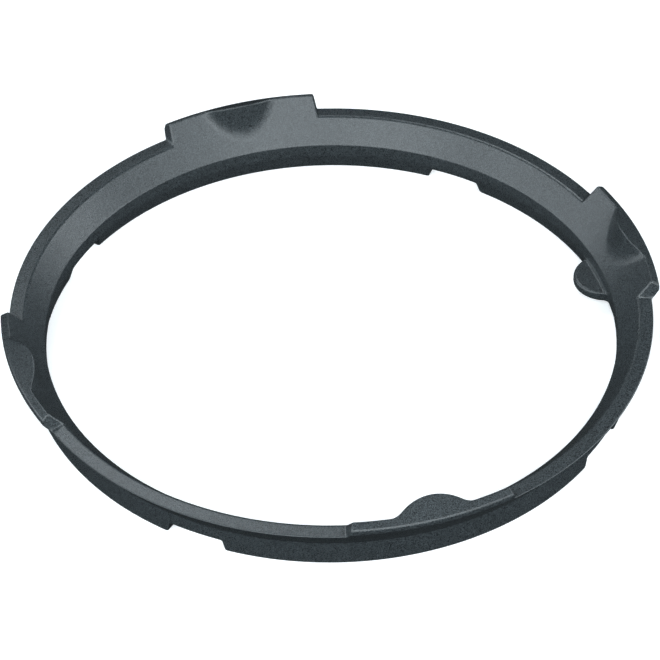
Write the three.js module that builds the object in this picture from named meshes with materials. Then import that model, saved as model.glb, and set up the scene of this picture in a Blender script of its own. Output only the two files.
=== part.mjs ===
// Sealing ring for the lid of a 22 cm stovetop pressure cooker, moulded in one piece.
// Millimetres, +Z up. The ring lies on its foot, centred on the Z axis, lugs on +-X and +-Y.
import * as THREE from 'three';
import { mergeVertices } from 'three/addons/utils/BufferGeometryUtils.js';

// Inner wall and foot, radius and height.
const FOOT_INNER = [102.0, 0.6];
const FOOT_LAND_INNER = [102.6, 0];
const FOOT_LAND_OUTER = [105.7, 0];
const SKIRT_LOW = [106.5, 0.8];
const SKIRT_MIDDLE = [106.7, 6.6];
const SKIRT_TOP = [106.5, 9.7];
const WALL_LIP = [100.5, 6.9];
const THROAT = [100.8, 11.0];

// Sloping faces of the section, height gained per unit of radius.
const FUNNEL_SLOPE = 1.2;
const UNDERCUT_SLOPE = 1.326;
const BEVEL_SLOPE = -0.6;

// Rim between the lugs.
const CREST_RADIUS = 107.7;
const RIM_TOP = [112.2, 19.1];
const RIM_EDGE = [113.0, 18.5];
const RIM_UNDER_RADIUS = 112.75;

// Lugs that stand up and out from the rim, evenly spaced from +X.
const LUG_COUNT = 4;
const LUG_RADIUS = 115.7;
const LUG_BEVEL_FOOT = 23.8;
const LUG_TOP_HALF_ANGLE = 14.1;
const LUG_BASE_HALF_ANGLE = 14.9;

// Round boss at the middle of every lug. Its side is a steep cone about an upright axis.
const BOSS_AXIS_RADIUS = 125.65;
const BOSS_RADIUS = 19.85;
const BOSS_BASE_HEIGHT = 17.0;
const BOSS_DRAFT = 0.16;

// Shallow notches through the foot, one about midway between each pair of lugs.
const NOTCH_ANGLES = [45.8, 134.3, 226.9, 313.1];
const NOTCH_TOP_HALF_ANGLE = 5.3;
const NOTCH_BASE_HALF_ANGLE = 5.9;
const NOTCH_DEPTH = 4.7;

// Pull tab on the inner wall, under the lug on +X.
const PULL_ANGLE = 0.6;
const PULL_AXIS_RADIUS = 102.2;
const PULL_RADIUS = 10.2;
const PULL_BOTTOM = 3.3;
const PULL_EDGE = 0.8;

// Facets.
const PLAIN_STEP = 2.6;
const BOSS_STEPS = 10;
const PULL_STEPS = 18;
const EDGE_CUT = 0.5;

const MATERIAL = { color: 0x3c4448, roughness: 0.6, metalness: 0 };

const rad = THREE.MathUtils.degToRad;
const deg = THREE.MathUtils.radToDeg;

const funnelHeight = (r) => THROAT[1] + (r - THROAT[0]) * FUNNEL_SLOPE;
const undercutHeight = (r) => SKIRT_TOP[1] + (r - SKIRT_TOP[0]) * UNDERCUT_SLOPE;
const bevelHeight = (r) => LUG_BEVEL_FOOT + (r - LUG_RADIUS) * BEVEL_SLOPE;
const bossRadiusAt = (z) => BOSS_RADIUS - (z - BOSS_BASE_HEIGHT) * BOSS_DRAFT;

// Bisection for the root of f between lo and hi.
function solve(f, lo, hi) {
  const rising = f(hi) > f(lo);
  for (let i = 0; i < 50; i += 1) {
    const mid = (lo + hi) / 2;
    if ((f(mid) > 0) === rising) hi = mid;
    else lo = mid;
  }
  return (lo + hi) / 2;
}

const LUG_TOP_RADIUS = solve((r) => funnelHeight(r) - bevelHeight(r), CREST_RADIUS, LUG_RADIUS);
const LUG_TOP = [LUG_TOP_RADIUS, funnelHeight(LUG_TOP_RADIUS)];

// How far the point at radius r lies inside the boss, at an angle off the lug's middle.
function insideBoss(r, z, angle) {
  const reach = Math.hypot(
    r * Math.cos(rad(angle)) - BOSS_AXIS_RADIUS,
    r * Math.sin(rad(angle)),
  );
  return bossRadiusAt(z) - reach;
}

const BOSS_HALF_ANGLE = solve(
  (angle) => insideBoss(LUG_TOP[0], LUG_TOP[1], angle), 0, LUG_TOP_HALF_ANGLE,
);

// Where the boss wall starts on the funnel face and ends on the outer bevel.
function bossWall(angle) {
  if (Math.abs(angle) >= BOSS_HALF_ANGLE) return [LUG_TOP, LUG_TOP];
  const onFace = (height) => {
    const r = solve((x) => insideBoss(x, height(x), angle), THROAT[0], LUG_TOP[0]);
    return [r, height(r)];
  };
  return [onFace(funnelHeight), onFace(bevelHeight)];
}

// A point a short way from one corner towards another, used to break the edge between them.
function towards(from, to, distance) {
  const length = Math.hypot(to[0] - from[0], to[1] - from[1]);
  const share = length > 0 ? Math.min(distance / length, 0.4) : 0;
  return [from[0] + (to[0] - from[0]) * share, from[1] + (to[1] - from[1]) * share];
}

// Upper outline from the funnel face, over the top, to the undercut.
function rimOutline() {
  const crest = [CREST_RADIUS, funnelHeight(CREST_RADIUS)];
  const under = [RIM_UNDER_RADIUS, undercutHeight(RIM_UNDER_RADIUS)];
  return [
    towards(crest, THROAT, EDGE_CUT), towards(crest, THROAT, EDGE_CUT),
    towards(crest, RIM_TOP, EDGE_CUT), RIM_TOP, RIM_TOP, RIM_EDGE, RIM_EDGE, under,
  ];
}

function lugOutline(angle) {
  const [wallFoot, wallTop] = bossWall(angle);
  const bevelFoot = [LUG_RADIUS, LUG_BEVEL_FOOT];
  const outerLow = [LUG_RADIUS, undercutHeight(LUG_RADIUS)];
  const funnelRadius = Math.min(towards([CREST_RADIUS, 0], [THROAT[0], 0], EDGE_CUT)[0], wallFoot[0]);
  const hasWall = wallFoot !== wallTop;
  return [
    [funnelRadius, funnelHeight(funnelRadius)],
    hasWall ? wallFoot : towards(wallFoot, THROAT, EDGE_CUT),
    hasWall ? towards(wallTop, wallFoot, EDGE_CUT) : towards(wallFoot, THROAT, EDGE_CUT),
    towards(wallTop, bevelFoot, EDGE_CUT),
    towards(bevelFoot, wallTop, EDGE_CUT),
    towards(bevelFoot, outerLow, EDGE_CUT),
    outerLow,
    [RIM_UNDER_RADIUS, undercutHeight(RIM_UNDER_RADIUS)],
  ];
}

// Point on the inner wall below the lip.
function wallPoint(height) {
  const share = (height - FOOT_INNER[1]) / (WALL_LIP[1] - FOOT_INNER[1]);
  return [FOOT_INNER[0] + (WALL_LIP[0] - FOOT_INNER[0]) * share, height];
}

// Outline of the foot, from the skirt round to the inner wall, cut off flat inside a notch.
function footOutline(depth) {
  const bottom = [SKIRT_LOW, FOOT_LAND_OUTER, FOOT_LAND_INNER];
  const innerHeight = Math.max(FOOT_INNER[1], depth);
  return [...bottom.map(([r, z]) => [r, Math.max(z, depth)]), wallPoint(innerHeight)];
}

// Inner wall with the pull tab drawn in to the given radius.
function wallOutline(pullRadius) {
  const depth = Math.max(WALL_LIP[0] - pullRadius, 0);
  const edge = Math.min(PULL_EDGE, depth);
  if (depth === 0) {
    const wallLow = wallPoint(NOTCH_DEPTH);
    return [wallLow, wallLow, wallLow, WALL_LIP, WALL_LIP, WALL_LIP, THROAT];
  }
  return [
    wallPoint(PULL_BOTTOM),
    [pullRadius + edge, PULL_BOTTOM],
    [pullRadius, PULL_BOTTOM + PULL_EDGE],
    [pullRadius, WALL_LIP[1] - PULL_EDGE],
    [pullRadius + edge, WALL_LIP[1]],
    WALL_LIP,
    THROAT,
  ];
}

const section = (top, notchDepth, pullRadius) => [
  ...footOutline(notchDepth), ...wallOutline(pullRadius), ...top, SKIRT_TOP, SKIRT_MIDDLE,
];

// Radius of the pull tab's round edge at an angle off the tab's middle.
function pullEdge(angle) {
  const across = PULL_AXIS_RADIUS * Math.sin(rad(angle));
  const inside = PULL_RADIUS ** 2 - across ** 2;
  if (inside <= 0) return WALL_LIP[0];
  const radius = PULL_AXIS_RADIUS * Math.cos(rad(angle)) - Math.sqrt(inside);
  return Math.min(radius, WALL_LIP[0]);
}

const PULL_HALF_ANGLE = deg(Math.asin(PULL_RADIUS / PULL_AXIS_RADIUS));

// Angles off the lug's middle where the section has to be drawn.
function lugOffsets(hasPull) {
  const outward = [LUG_TOP_HALF_ANGLE, (LUG_TOP_HALF_ANGLE + BOSS_HALF_ANGLE) / 2];
  for (let i = 0; i < BOSS_STEPS; i += 1) {
    outward.push(BOSS_HALF_ANGLE * Math.cos((i / BOSS_STEPS) * Math.PI / 2));
  }
  const offsets = [0, ...outward, ...outward.map((offset) => -offset)];
  for (let i = 0; hasPull && i <= PULL_STEPS; i += 1) {
    offsets.push(PULL_ANGLE + PULL_HALF_ANGLE * Math.cos((i / PULL_STEPS) * Math.PI));
  }
  return offsets.sort((a, b) => a - b);
}

function lugStations(middle, hasPull) {
  return lugOffsets(hasPull).map((offset) => {
    const pullRadius = hasPull ? pullEdge(offset - PULL_ANGLE) : WALL_LIP[0];
    return { angle: middle + offset, outline: section(lugOutline(offset), 0, pullRadius) };
  });
}

function plainStations(from, to, notchDepth) {
  const count = Math.ceil((to - from) / PLAIN_STEP);
  return Array.from({ length: count + 1 }, (_, i) => ({
    angle: from + ((to - from) * i) / count,
    outline: section(rimOutline(), notchDepth, WALL_LIP[0]),
  }));
}

function allStations() {
  const pitch = 360 / LUG_COUNT;
  return NOTCH_ANGLES.flatMap((notch, lug) => {
    const middle = lug * pitch;
    return [
      ...lugStations(middle, lug === 0),
      ...plainStations(middle + LUG_BASE_HALF_ANGLE, notch - NOTCH_BASE_HALF_ANGLE, 0),
      ...plainStations(notch - NOTCH_TOP_HALF_ANGLE, notch + NOTCH_TOP_HALF_ANGLE, NOTCH_DEPTH),
      ...plainStations(notch + NOTCH_BASE_HALF_ANGLE, middle + pitch - LUG_BASE_HALF_ANGLE, 0),
    ];
  });
}

// Skins the closed run of stations, leaving out the triangles that have no area.
function skin(stations) {
  const perStation = stations[0].outline.length;
  const positions = [];
  stations.forEach(({ angle, outline }) => {
    outline.forEach(([r, z]) => {
      positions.push(r * Math.cos(rad(angle)), r * Math.sin(rad(angle)), z);
    });
  });
  const indices = [];
  for (let i = 0; i < stations.length; i += 1) {
    const here = i * perStation;
    const next = ((i + 1) % stations.length) * perStation;
    for (let j = 0; j < perStation; j += 1) {
      const k = (j + 1) % perStation;
      indices.push(here + j, here + k, next + k, here + j, next + k, next + j);
    }
  }
  const loose = new THREE.BufferGeometry();
  loose.setAttribute('position', new THREE.Float32BufferAttribute(positions, 3));
  loose.setIndex(indices);
  const welded = mergeVertices(loose, 1e-3);
  const source = welded.getIndex();
  const kept = [];
  for (let i = 0; i < source.count; i += 3) {
    const [a, b, c] = [source.getX(i), source.getX(i + 1), source.getX(i + 2)];
    if (a !== b && b !== c && c !== a) kept.push(a, b, c);
  }
  welded.setIndex(kept);
  welded.computeVertexNormals();
  return welded;
}

const ring = new THREE.Mesh(skin(allStations()), new THREE.MeshStandardMaterial(MATERIAL));
ring.name = 'sealing_ring';

const group = new THREE.Group();
group.name = 'pressure_cooker_sealing_ring';
group.add(ring);

export default group;
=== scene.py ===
"""Sealing ring of a stovetop pressure cooker, moulded in one piece of dark silicone.

The ring is drawn as one closed skin through outlines of its section. Each outline is a list of
(radius, height) points in millimetres, at one angle about the ring's axis.
"""

import math

import bmesh
import bpy
import numpy as np
from mathutils import Matrix, Vector


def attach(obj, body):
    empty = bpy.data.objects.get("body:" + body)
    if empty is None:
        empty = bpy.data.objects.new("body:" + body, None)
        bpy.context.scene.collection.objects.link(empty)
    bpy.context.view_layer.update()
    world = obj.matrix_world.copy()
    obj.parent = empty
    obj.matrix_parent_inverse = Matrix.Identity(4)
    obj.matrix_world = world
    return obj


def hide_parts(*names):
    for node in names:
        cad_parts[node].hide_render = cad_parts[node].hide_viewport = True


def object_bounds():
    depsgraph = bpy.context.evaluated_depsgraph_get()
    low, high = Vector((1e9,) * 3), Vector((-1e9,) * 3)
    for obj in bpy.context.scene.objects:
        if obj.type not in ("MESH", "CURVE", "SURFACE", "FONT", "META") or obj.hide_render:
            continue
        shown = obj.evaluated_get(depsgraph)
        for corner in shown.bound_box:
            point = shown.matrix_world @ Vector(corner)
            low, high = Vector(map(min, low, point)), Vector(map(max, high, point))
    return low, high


# Inner wall and foot, radius and height, in millimetres as in the CAD part.
FOOT_INNER = (102.0, 0.6)
SKIRT_LOW = (106.5, 0.8)
SKIRT_MIDDLE = (106.7, 6.6)
SKIRT_TOP = (106.5, 9.7)
WALL_LIP = (100.5, 6.9)
THROAT = (100.8, 11.0)

# Sloping faces, height gained per unit of radius.
FUNNEL_SLOPE = 1.2
UNDERCUT_SLOPE = 1.326
RIM_SLOPE = -0.06
BEVEL_SLOPE = -0.6

# Rim and lugs.
CREST = (107.7, 19.3)
RIM_RADIUS = 113.0
LUG_COUNT = 4
LUG_RADIUS = 115.7
LUG_BEVEL_FOOT = 23.8
LUG_TOP_HALF_ANGLE = 14.1
LUG_BASE_HALF_ANGLE = 14.9
LUG_WALL_HEIGHTS = (19.1, 25.3)

# Boss at the middle of every lug, a steep cone about an upright axis.
BOSS_AXIS_RADIUS = 125.65
BOSS_RADIUS = 19.85
BOSS_BASE_HEIGHT = 17.0
BOSS_DRAFT = 0.16

# Notches through the foot.
NOTCH_ANGLES = (45.8, 134.3, 226.9, 313.1)
NOTCH_TOP_HALF_ANGLE = 5.3
NOTCH_BASE_HALF_ANGLE = 5.9
NOTCH_DEPTH = 4.7
NOTCH_RUN_OUT = 5.0

# Pull tab on the inner wall.
TAB_ANGLE = 0.6
TAB_AXIS_RADIUS = 102.2
TAB_RADIUS = 10.2
TAB_BOTTOM = 3.3
TAB_ROOT_FILLET = 2.0
TAB_REACH_ANGLE = 10.0

# How far the inner wall's lip reaches down, and the tab depth over which its front takes shape.
LIP_HEIGHT = 1.0
TAB_FRONT_DEPTH = 0.6

# Edge radii.
CREST_ROUND = 0.62
RIM_ROUND = 0.45
LUG_EDGE_ROUND = 0.6
LUG_END_ROUND = 0.5
UNDERCUT_ROUND = 0.3
BOSS_FOOT_ROUND = 1.6
LUG_FOOT_ROUND = 0.4
FOOT_ROUND = 0.9
NOTCH_ROUND = 0.4
NOTCH_END_ROUND = 0.9
TAB_ROUND = 1.1
TAB_TOP_FILLET = 1.2
LIP_ROUND = 0.5
THROAT_ROUND = 1.2

# Arcs have this many points, and take at most this share of the shorter side beside them.
ARC_POINTS = 6
ARC_ROOM = 0.48

# Angles at which outlines are drawn, in degrees: one every step all round, more beside the
# lugs, notches and tab, and none closer together than the gap.
STATION_STEP = 1.5
STATION_GAP = 0.03
LUG_STATIONS = (
    *np.arange(0, 3, 0.5),
    *np.arange(3, 8, 0.25),
    *np.arange(13.2, 15.8, 0.13),
)
TAB_EDGE_STATIONS = 16
TAB_FILLET_STATIONS = 8

# Vertices closer than this are merged.
MERGE_DISTANCE = 1e-3

# The upper outline is found by rays from a point inside the section, in passes.
FAN_CENTRE = (108.6, 14.4)
FAN_START_RADIUS = 108.5
FAN_END_RADIUS = 101.5
FAN_RAYS = (240, 160, 68)
FAN_TURN_WORTH = 4.0
FAN_REACH = 18.0
FAN_STEP = 0.3
FAN_HALVINGS = 24

# Silicone. The noise scales are per metre, the colours linear, and the bump in metres.
GRAIN_SCALE = 2800.0
MOTTLE_SCALE = 60.0
GLOSS_SCALE = 2600.0
GRAIN_DARK = (0.005, 0.006, 0.007, 1)
GRAIN_LIGHT = (0.056, 0.065, 0.069, 1)
GRAIN_RANGE = (0.39, 0.61)
MOTTLE_SHADES = (0.86, 1.14)
GLOSS_RANGE = (0.35, 0.65)
ROUGHNESSES = (0.24, 0.36)
BUMP_STRENGTH = 0.3
BUMP_DISTANCE = 0.0002
SILICONE_IOR = 1.43
SILICONE_SPECULAR = 0.6

# Floor, in metres. The gap below the foot keeps the two out of one plane.
FLOOR_REACH = 6.0
FLOOR_GAP = 0.0001
FLOOR_COLOUR = (0.95, 0.95, 0.95, 1)
FLOOR_ROUGHNESS = 0.9
FLOOR_SPECULAR = 0.1
FLOOR_GLOW = 0.35

# Soft boxes in metres, degrees and watts. Azimuths are off the camera's own.
LIGHT_DISTANCE = 1.6
LIGHT_COLOUR = (0.90, 0.99, 1.04)
LIGHTS = (
    # name, azimuth, elevation, width, height, power
    ("front_left", 315, 30, 2.0, 1.2, 21),
    ("front", 0, 38, 2.0, 1.2, 21),
    ("front_right", 42, 30, 2.0, 1.2, 20),
    ("left", 268, 16, 1.4, 0.7, 11),
    ("right", 88, 9, 0.8, 0.4, 10),
    ("right_back", 114, 24, 0.6, 0.5, 6),
    ("back_left", 205, 56, 0.6, 0.4, 7),
)
WORLD_COLOUR = (0.9, 0.95, 1.0, 1)
WORLD_STRENGTH = 0.02

# Camera, measured from the ring's axis at foot level. Angles in degrees, distance in metres,
# lens and sensor in millimetres.
CAMERA_AZIMUTH = -17.2
CAMERA_ELEVATION = 42.22
CAMERA_DISTANCE = 1.4747
CAMERA_PAN = -0.018
CAMERA_TILT = 0.278
CAMERA_ROLL = -0.621
CAMERA_LENS = 227.07
CAMERA_SENSOR = 36

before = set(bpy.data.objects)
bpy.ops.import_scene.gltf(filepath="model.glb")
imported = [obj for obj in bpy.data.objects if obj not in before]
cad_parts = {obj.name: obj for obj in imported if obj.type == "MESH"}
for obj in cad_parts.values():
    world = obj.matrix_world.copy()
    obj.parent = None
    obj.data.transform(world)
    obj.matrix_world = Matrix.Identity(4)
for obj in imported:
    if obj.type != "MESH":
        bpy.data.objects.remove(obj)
cad_low, cad_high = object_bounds()
MM = cad_high.x / LUG_RADIUS


def slope_field(r, z, point, slope, side):
    """Signed distance to a sloping line through the point, positive above it for side 1."""
    return side * (z - point[1] - (r - point[0]) * slope) / math.hypot(1, slope)


def meet(a, b, radius):
    """What lies inside both fields, with the edge between them rounded."""
    corner = np.hypot(np.maximum(a + radius, 0), np.maximum(b + radius, 0))
    return np.minimum(np.maximum(a, b), -radius) + corner


def join(a, b, radius):
    """What lies inside either field, with the corner between them filled."""
    corner = np.hypot(np.maximum(radius - a, 0), np.maximum(radius - b, 0))
    return np.maximum(np.minimum(a, b), radius) - corner


def upper_field(r, z, offset):
    """Signed distance to the upper part of the ring, at an angle off the nearest lug's middle."""
    turn = np.radians(offset)
    boss_distance = np.hypot(r * np.cos(turn) - BOSS_AXIS_RADIUS, r * np.sin(turn))
    boss_radius = BOSS_RADIUS - (z - BOSS_BASE_HEIGHT) * BOSS_DRAFT
    boss = (boss_distance - boss_radius) / math.hypot(1, BOSS_DRAFT)
    inner = join(slope_field(r, z, THROAT, FUNNEL_SLOPE, 1), boss, BOSS_FOOT_ROUND)

    rim = meet(slope_field(r, z, CREST, RIM_SLOPE, 1), r - RIM_RADIUS, RIM_ROUND)
    bevel = slope_field(r, z, (LUG_RADIUS, LUG_BEVEL_FOOT), BEVEL_SLOPE, 1)
    half_angle = np.interp(z, LUG_WALL_HEIGHTS, (LUG_BASE_HALF_ANGLE, LUG_TOP_HALF_ANGLE))
    end = r * np.radians(np.abs(offset) - half_angle)
    lug = meet(meet(bevel, r - LUG_RADIUS, LUG_EDGE_ROUND), end, LUG_END_ROUND)

    solid = meet(join(rim, lug, LUG_FOOT_ROUND), inner, CREST_ROUND)
    return meet(solid, slope_field(r, z, SKIRT_TOP, UNDERCUT_SLOPE, -1), UNDERCUT_ROUND)


def ray_angle(r, z):
    """Angle of the ray from the fan's centre to a point."""
    return math.atan2(z - FAN_CENTRE[1], r - FAN_CENTRE[0])


def on_line(r, point, slope):
    """Height at a radius on a sloping line through the point."""
    return point[1] + (r - point[0]) * slope


def fan_points(angles, offsets):
    """Where the rays of every station leave the solid."""
    across, up = np.cos(angles), np.sin(angles)

    def field(distance):
        return upper_field(
            FAN_CENTRE[0] + across * distance, FAN_CENTRE[1] + up * distance, offsets[:, None]
        )

    near = np.zeros(angles.shape)
    found = np.zeros(angles.shape, bool)
    for step in np.arange(FAN_STEP, FAN_REACH, FAN_STEP):
        found |= field(step) > 0
        near = np.where(found, near, step)
    far = near + FAN_STEP
    for _ in range(FAN_HALVINGS):
        middle = (near + far) / 2
        outside = field(middle) > 0
        far = np.where(outside, middle, far)
        near = np.where(outside, near, middle)
    distance = (near + far) / 2
    return np.stack([FAN_CENTRE[0] + across * distance, FAN_CENTRE[1] + up * distance], -1)


def fan_outlines(offsets):
    """Upper outline at every station, from the undercut over the top to the funnel face.

    Each pass spreads the next one's rays evenly over the outline's length and its turns.
    """
    first = ray_angle(FAN_START_RADIUS, on_line(FAN_START_RADIUS, SKIRT_TOP, UNDERCUT_SLOPE))
    last = ray_angle(FAN_END_RADIUS, on_line(FAN_END_RADIUS, THROAT, FUNNEL_SLOPE)) + 2 * math.pi
    angles = np.tile(np.linspace(first, last, FAN_RAYS[0]), (len(offsets), 1))
    for rays in FAN_RAYS[1:]:
        steps = np.diff(fan_points(angles, offsets), axis=1)
        heading = np.unwrap(np.arctan2(steps[..., 1], steps[..., 0]), axis=1)
        bend = np.abs(np.diff(heading, axis=1))
        worth = np.hypot(steps[..., 0], steps[..., 1])
        worth[:, 1:] += bend * FAN_TURN_WORTH / 2
        worth[:, :-1] += bend * FAN_TURN_WORTH / 2
        total = np.cumsum(np.pad(worth, ((0, 0), (1, 0))), axis=1)
        angles = np.array([
            np.interp(np.linspace(0, run[-1], rays), run, row) for run, row in zip(total, angles)
        ])
    return fan_points(angles, offsets)


def rounded(corners):
    """Points along a run of (x, y, radius) corners, each but the ends turned with an arc."""
    points = []
    for before, here, after in zip(corners, corners[1:], corners[2:]):
        middle = Vector(here[:2])
        back, ahead = Vector(before[:2]) - middle, Vector(after[:2]) - middle
        room = ARC_ROOM * min(back.length, ahead.length)
        turn = math.pi - back.angle(ahead) if room > 1e-6 else 0
        if turn < 1e-3 or here[2] <= 0:
            points += [tuple(middle)] * ARC_POINTS
            continue
        tangent = min(here[2] * math.tan(turn / 2), room)
        back, ahead = back.normalized(), ahead.normalized()
        radius = tangent / math.tan(turn / 2)
        centre = middle + (back + ahead).normalized() * radius / math.cos(turn / 2)
        start, end = middle + back * tangent - centre, middle + ahead * tangent - centre
        for i in range(ARC_POINTS):
            part = turn * i / (ARC_POINTS - 1)
            arm = (start * math.sin(turn - part) + end * math.sin(part)) / math.sin(turn)
            points.append(tuple(centre + arm))
    return points


def wall_radius(height):
    """Radius of the inner wall below its lip."""
    share = (height - FOOT_INNER[1]) / (WALL_LIP[1] - FOOT_INNER[1])
    return FOOT_INNER[0] + (WALL_LIP[0] - FOOT_INNER[0]) * share


def skirt_radius(height):
    """Radius of the lower skirt."""
    share = (height - SKIRT_LOW[1]) / (SKIRT_MIDDLE[1] - SKIRT_LOW[1])
    return SKIRT_LOW[0] + (SKIRT_MIDDLE[0] - SKIRT_LOW[0]) * share


def notch_ramp():
    """Angle off a notch's middle and height of its floor, across one of its ends."""
    mean_radius = (FOOT_INNER[0] + SKIRT_LOW[0]) / 2
    top = math.radians(NOTCH_TOP_HALF_ANGLE) * mean_radius
    base = math.radians(NOTCH_BASE_HALF_ANGLE) * mean_radius
    ramp = rounded([
        (top - NOTCH_RUN_OUT, NOTCH_DEPTH, 0),
        (top, NOTCH_DEPTH, NOTCH_END_ROUND),
        (base, 0, NOTCH_END_ROUND),
        (base + NOTCH_RUN_OUT, 0, 0),
    ])
    return [(math.degrees(x / mean_radius), height) for x, height in ramp]


NOTCH_RAMP = notch_ramp()


def fillet_beside_tab():
    """Polar place of the centre of the fillet between the tab's edge and the inner wall."""
    to_axis = WALL_LIP[0] - TAB_ROOT_FILLET
    to_tab = TAB_RADIUS + TAB_ROOT_FILLET
    across = (to_axis**2 + TAB_AXIS_RADIUS**2 - to_tab**2) / (2 * TAB_AXIS_RADIUS)
    side = math.sqrt(to_axis**2 - across**2)
    share = TAB_RADIUS / to_tab
    touch = (TAB_AXIS_RADIUS + (across - TAB_AXIS_RADIUS) * share, side * share)
    return to_axis, math.degrees(math.atan2(side, across)), math.degrees(math.atan2(*touch[::-1]))


FILLET_RADIUS_OUT, TAB_END_ANGLE, TAB_TOUCH_ANGLE = fillet_beside_tab()


def tab_edge(offset):
    """Radius of the tab's edge at an angle off its middle, or of the wall where there is no tab."""
    offset = abs(offset)
    if offset >= TAB_END_ANGLE:
        return WALL_LIP[0]
    if offset > TAB_TOUCH_ANGLE:
        turn = math.radians(offset - TAB_END_ANGLE)
        inside = TAB_ROOT_FILLET**2 - (FILLET_RADIUS_OUT * math.sin(turn)) ** 2
        return FILLET_RADIUS_OUT * math.cos(turn) + math.sqrt(max(inside, 0))
    turn = math.radians(offset)
    inside = TAB_RADIUS**2 - (TAB_AXIS_RADIUS * math.sin(turn)) ** 2
    return TAB_AXIS_RADIUS * math.cos(turn) - math.sqrt(max(inside, 0))


def signed_offset(angle, middle):
    """Angle off a middle, from -180 to 180."""
    return (angle - middle + 180) % 360 - 180


def lower_outline(angle):
    """Lower outline, from the funnel face down the inner wall, round the foot and up the skirt."""
    ends, heights = zip(*NOTCH_RAMP)
    to_notch = min(abs(signed_offset(angle, notch)) for notch in NOTCH_ANGLES)
    floor = float(np.interp(to_notch, ends, heights))
    foot_round = FOOT_ROUND + (NOTCH_ROUND - FOOT_ROUND) * floor / NOTCH_DEPTH
    to_tab = signed_offset(angle, TAB_ANGLE)
    edge = tab_edge(to_tab)
    depth = WALL_LIP[0] - edge
    low = TAB_BOTTOM if abs(to_tab) < TAB_REACH_ANGLE else WALL_LIP[1] - LIP_HEIGHT
    low_radius = wall_radius(low)
    front_radius = low_radius + (edge - low_radius) * min(depth / TAB_FRONT_DEPTH, 1)
    return rounded([
        (FAN_END_RADIUS, on_line(FAN_END_RADIUS, THROAT, FUNNEL_SLOPE), 0),
        (*THROAT, THROAT_ROUND),
        (*WALL_LIP, TAB_TOP_FILLET),
        (edge, WALL_LIP[1], TAB_ROUND if depth > 0 else LIP_ROUND),
        (front_radius, low, TAB_ROUND),
        (low_radius, low, LIP_ROUND),
        (wall_radius(floor), floor, foot_round),
        (skirt_radius(floor), floor, foot_round),
        (*SKIRT_MIDDLE, 0),
        (*SKIRT_TOP, LIP_ROUND),
        (FAN_START_RADIUS, on_line(FAN_START_RADIUS, SKIRT_TOP, UNDERCUT_SLOPE), 0),
    ])


def station_angles():
    """Angles of the outlines, closer together where the ring changes along its length."""
    angles = list(np.arange(0, 360, STATION_STEP))
    for lug in range(LUG_COUNT):
        middle = lug * 360 / LUG_COUNT
        angles += [middle + side * offset for offset in LUG_STATIONS for side in (-1, 1)]
    for notch in NOTCH_ANGLES:
        angles += [notch + side * offset for offset, _ in NOTCH_RAMP for side in (-1, 1)]
    tab_offsets = [
        TAB_TOUCH_ANGLE * math.sin(math.pi / 2 * i / TAB_EDGE_STATIONS)
        for i in range(TAB_EDGE_STATIONS + 1)
    ]
    tab_offsets += [
        TAB_END_ANGLE + (TAB_TOUCH_ANGLE - TAB_END_ANGLE) * (i / TAB_FILLET_STATIONS) ** 1.5
        for i in range(TAB_FILLET_STATIONS + 1)
    ]
    angles += [TAB_ANGLE + side * offset for offset in tab_offsets for side in (-1, 1)]
    kept = []
    for angle in sorted(float(a) % 360 for a in angles):
        if not kept or angle - kept[-1] > STATION_GAP:
            kept.append(angle)
    return kept


def ring_mesh():
    """Closed skin through all the outlines."""
    angles = station_angles()
    pitch = 360 / LUG_COUNT
    offsets = np.array([(angle + pitch / 2) % pitch - pitch / 2 for angle in angles])
    upper = fan_outlines(offsets)
    outlines = [
        [*map(tuple, top), *lower_outline(angle)] for angle, top in zip(angles, upper)
    ]
    mesh = bmesh.new()
    rows = []
    for angle, outline in zip(angles, outlines):
        turn = math.radians(angle)
        rows.append([
            mesh.verts.new(Vector((r * math.cos(turn), r * math.sin(turn), z)) * MM)
            for r, z in outline
        ])
    for row, after in zip(rows, rows[1:] + rows[:1]):
        for i, vertex in enumerate(row):
            j = (i + 1) % len(row)
            mesh.faces.new((vertex, after[i], after[j], row[j]))
    bmesh.ops.remove_doubles(mesh, verts=mesh.verts, dist=MERGE_DISTANCE * MM)
    bmesh.ops.dissolve_degenerate(mesh, edges=mesh.edges, dist=MERGE_DISTANCE * MM)
    bmesh.ops.recalc_face_normals(mesh, faces=mesh.faces)
    for face in mesh.faces:
        face.smooth = True
    data = bpy.data.meshes.new("ring_skin")
    mesh.to_mesh(data)
    mesh.free()
    return data


class Nodes:
    """Short calls for building a material's nodes."""

    def __init__(self, name):
        self.material = bpy.data.materials.new(name)
        self.material.use_nodes = True
        self.tree = self.material.node_tree
        self.shader = self.tree.nodes["Principled BSDF"]

    def add(self, kind, links=None, **values):
        """A new node, with values for its properties and links into its inputs."""
        node = self.tree.nodes.new(kind)
        for name, value in values.items():
            if hasattr(node, name):
                setattr(node, name, value)
            else:
                node.inputs[name.replace("_", " ").title()].default_value = value
        for name, output in (links or {}).items():
            self.tree.links.new(output, node.inputs[name])
        return node

    def link(self, output, socket):
        self.tree.links.new(output, self.shader.inputs[socket])


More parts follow.
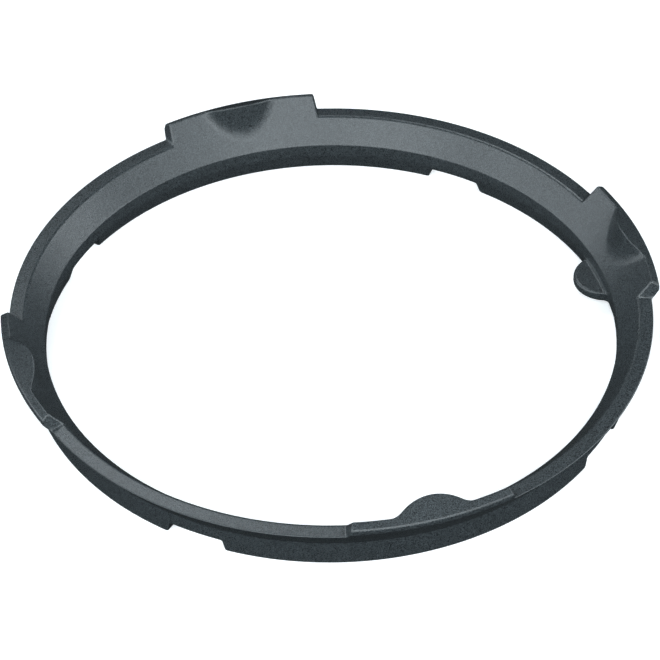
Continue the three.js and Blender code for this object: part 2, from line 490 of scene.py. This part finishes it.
def silicone():
    """Satin dark slate silicone: fine moulded grain, a little mottling and uneven gloss."""
    made = Nodes("silicone_slate")
    place = {"Vector": made.add("ShaderNodeTexCoord").outputs["Object"]}
    grain = made.add("ShaderNodeTexNoise", place, scale=GRAIN_SCALE, detail=3.0, roughness=0.6)
    mottle = made.add("ShaderNodeTexNoise", place, scale=MOTTLE_SCALE, detail=4.0, roughness=0.5)
    gloss = made.add("ShaderNodeTexNoise", place, scale=GLOSS_SCALE, detail=2.0, roughness=0.5)

    colour = made.add("ShaderNodeValToRGB", {"Fac": grain.outputs["Fac"]})
    for element, position, tone in zip(
        colour.color_ramp.elements, GRAIN_RANGE, (GRAIN_DARK, GRAIN_LIGHT)
    ):
        element.position = position
        element.color = tone
    shade = made.add("ShaderNodeMapRange", {"Value": mottle.outputs["Fac"]})
    shade.inputs["To Min"].default_value, shade.inputs["To Max"].default_value = MOTTLE_SHADES
    tint = made.add(
        "ShaderNodeVectorMath",
        {0: colour.outputs["Color"], 1: shade.outputs["Result"]},
        operation="MULTIPLY",
    )
    made.link(tint.outputs["Vector"], "Base Color")

    rough = made.add("ShaderNodeMapRange", {"Value": gloss.outputs["Fac"]})
    rough.inputs["From Min"].default_value, rough.inputs["From Max"].default_value = GLOSS_RANGE
    rough.inputs["To Min"].default_value, rough.inputs["To Max"].default_value = ROUGHNESSES
    made.link(rough.outputs["Result"], "Roughness")

    bump = made.add("ShaderNodeBump", {"Height": grain.outputs["Fac"]})
    bump.inputs["Strength"].default_value = BUMP_STRENGTH
    bump.inputs["Distance"].default_value = BUMP_DISTANCE
    made.link(bump.outputs["Normal"], "Normal")
    made.shader.inputs["IOR"].default_value = SILICONE_IOR
    made.shader.inputs["Specular IOR Level"].default_value = SILICONE_SPECULAR
    return made.material


def floor_material():
    """Matt near-white with a faint glow of its own."""
    made = Nodes("pale_floor")
    made.shader.inputs["Base Color"].default_value = FLOOR_COLOUR
    made.shader.inputs["Roughness"].default_value = FLOOR_ROUGHNESS
    made.shader.inputs["Specular IOR Level"].default_value = FLOOR_SPECULAR
    made.shader.inputs["Emission Color"].default_value = (1, 1, 1, 1)
    made.shader.inputs["Emission Strength"].default_value = FLOOR_GLOW
    return made.material


def add_object(name, data):
    """A new object in the scene."""
    made = bpy.data.objects.new(name, data)
    bpy.context.scene.collection.objects.link(made)
    return made


def direction(azimuth, elevation):
    """Unit vector towards an azimuth off the camera's own, and an elevation, in degrees."""
    turn, rise = math.radians(azimuth + CAMERA_AZIMUTH), math.radians(elevation)
    return Vector((
        math.sin(turn) * math.cos(rise), -math.cos(turn) * math.cos(rise), math.sin(rise)
    ))


def add_camera():
    """Camera that looks at the ring's axis at foot level, with small trims of its aim."""
    place = direction(0, CAMERA_ELEVATION) * CAMERA_DISTANCE
    ahead = -place.normalized()
    right = ahead.cross(Vector((0, 0, 1))).normalized()
    up = right.cross(ahead)
    pan, tilt, roll = map(math.radians, (CAMERA_PAN, CAMERA_TILT, CAMERA_ROLL))
    ahead = (
        ahead * math.cos(pan) * math.cos(tilt)
        + right * math.sin(pan) * math.cos(tilt)
        + up * math.sin(tilt)
    ).normalized()
    right = ahead.cross(up).normalized()
    up = right.cross(ahead)
    right, up = (
        right * math.cos(roll) + up * math.sin(roll),
        up * math.cos(roll) - right * math.sin(roll),
    )
    data = bpy.data.cameras.new("camera")
    data.lens = CAMERA_LENS
    data.sensor_width = CAMERA_SENSOR
    camera = add_object("camera", data)
    facing = Matrix((right, up, -ahead)).transposed().to_4x4()
    camera.matrix_world = Matrix.Translation(place) @ facing
    bpy.context.scene.camera = camera


def add_floor():
    """Plain pale floor. It sends no light to the ring and doesn't show in its gloss."""
    corners = ((-1, -1), (1, -1), (1, 1), (-1, 1))
    data = bpy.data.meshes.new("floor")
    data.from_pydata(
        [(x * FLOOR_REACH, y * FLOOR_REACH, 0) for x, y in corners], [], [(0, 1, 2, 3)]
    )
    data.materials.append(floor_material())
    floor = add_object("floor", data)
    floor.location.z = cad_low.z - FLOOR_GAP
    floor.visible_diffuse = False
    floor.visible_glossy = False


def add_world():
    """Faint light from all round."""
    world = bpy.data.worlds.new("studio")
    world.use_nodes = True
    background = world.node_tree.nodes["Background"]
    background.inputs["Color"].default_value = WORLD_COLOUR
    background.inputs["Strength"].default_value = WORLD_STRENGTH
    bpy.context.scene.world = world


def add_light(name, azimuth, elevation, width, height, power):
    """Soft box that faces the ring."""
    data = bpy.data.lights.new(name, "AREA")
    data.shape = "RECTANGLE"
    data.size = width
    data.size_y = height
    data.energy = power
    data.color = LIGHT_COLOUR
    light = add_object(name, data)
    towards = direction(azimuth, elevation)
    light.location = towards * LIGHT_DISTANCE
    light.rotation_mode = "QUATERNION"
    light.rotation_quaternion = towards.to_track_quat("Z", "Y")


ring = add_object("ring", ring_mesh())
ring.data.materials.append(silicone())
smoothing = ring.modifiers.new("flat_faces_stay_flat", "WEIGHTED_NORMAL")
smoothing.keep_sharp = True
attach(ring, "root")
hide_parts("sealing_ring")

add_floor()
for light in LIGHTS:
    add_light(*light)
add_world()
bpy.context.scene.view_settings.view_transform = "Standard"
add_camera()
